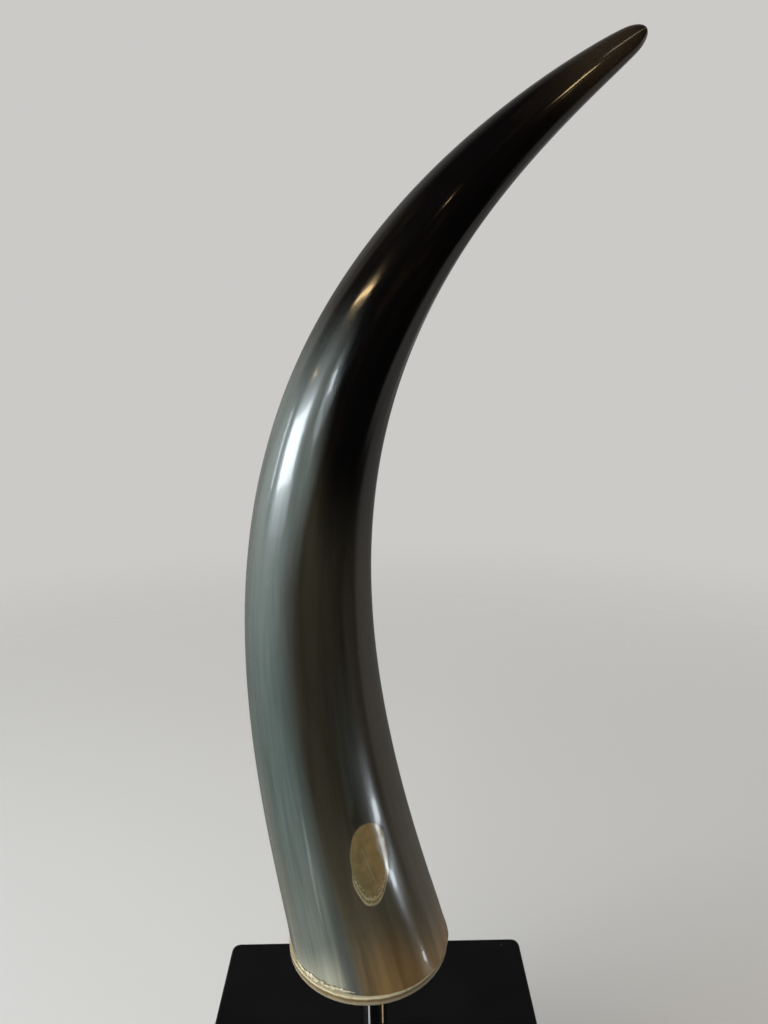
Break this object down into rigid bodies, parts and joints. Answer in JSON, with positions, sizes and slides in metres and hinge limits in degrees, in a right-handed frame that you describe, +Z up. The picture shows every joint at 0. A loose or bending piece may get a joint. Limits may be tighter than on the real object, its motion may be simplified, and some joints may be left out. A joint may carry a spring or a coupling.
{
  "type": "polished horn on stand",
  "caption": "Curved polished cattle horn with a pale closing disc, held upright on a chrome rod over a tall black square block.",
  "frame": {"origin": "centre of the block's flat underside, on the rod's axis", "axes": "+Z up along the rod; the viewer stands at -Y; the horn's tip points towards +X"},
  "size_m": [0.1662, 0.152, 0.556],
  "materials": {
    "black_wood": "black satin paint",
    "chrome_rod": "mirror polished",
    "pale_disc": "semi-gloss pale horn, standing in for natural horn",
    "horn": "high polish, streaked dark natural horn"
  },
  "bodies": {
    "root": {"base_block": "black_wood", "support_rod": "chrome_rod", "end_disc": "pale_disc", "horn": "horn"}
  },
  "joints": []
}
